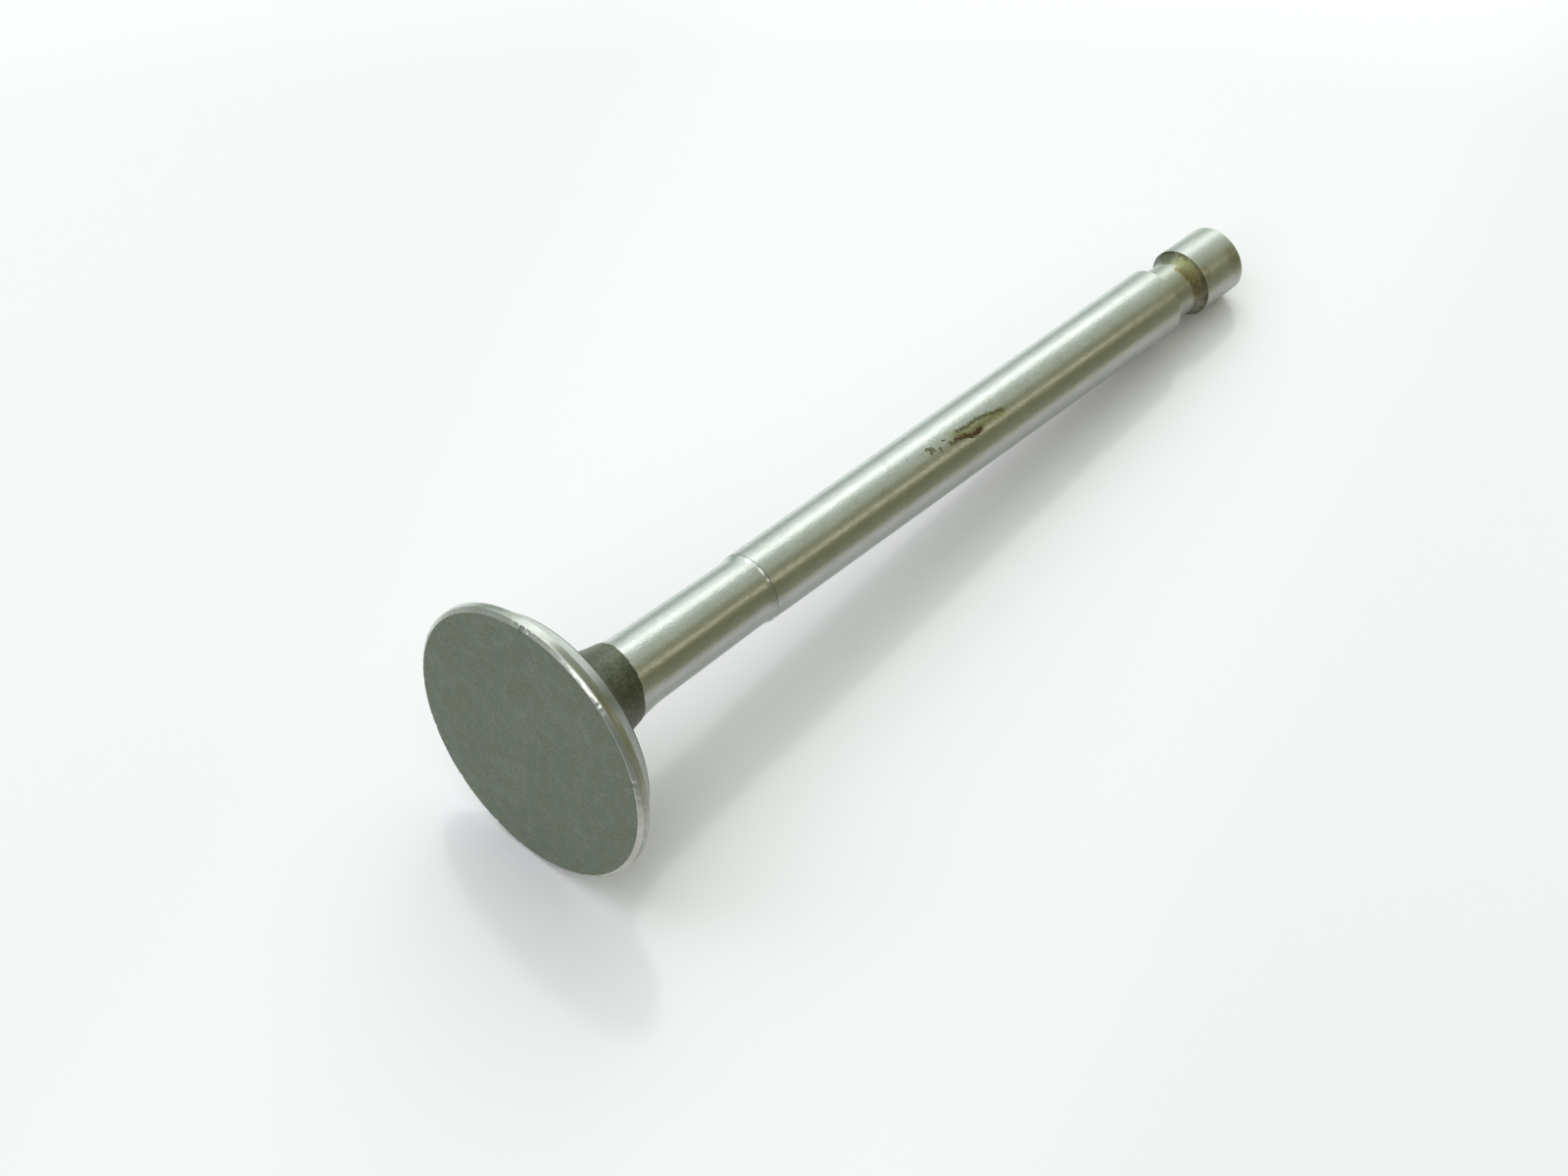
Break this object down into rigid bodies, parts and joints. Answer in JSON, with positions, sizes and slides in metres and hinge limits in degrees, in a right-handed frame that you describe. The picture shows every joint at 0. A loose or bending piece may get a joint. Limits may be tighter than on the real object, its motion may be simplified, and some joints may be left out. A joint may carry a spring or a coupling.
{
  "type": "engine valve",
  "caption": "Poppet valve for an engine's cylinder head: a flat round head with a ground conical seat, a flared neck, a straight stem and a keeper groove below its tip.",
  "frame": {"origin": "centre of the flat combustion face, which the valve stands on", "axes": "+Z along the stem, from the combustion face to the stem tip; X and Y lie in the face and are free, because the valve is round"},
  "size_m": [0.0302, 0.0302, 0.1098],
  "materials": {
    "valve_steel": "ground and polished on the stem, ground on the rim and seat, dark matt forging skin on the face, back and neck"
  },
  "bodies": {
    "root": {"valve": "valve_steel"}
  },
  "joints": []
}
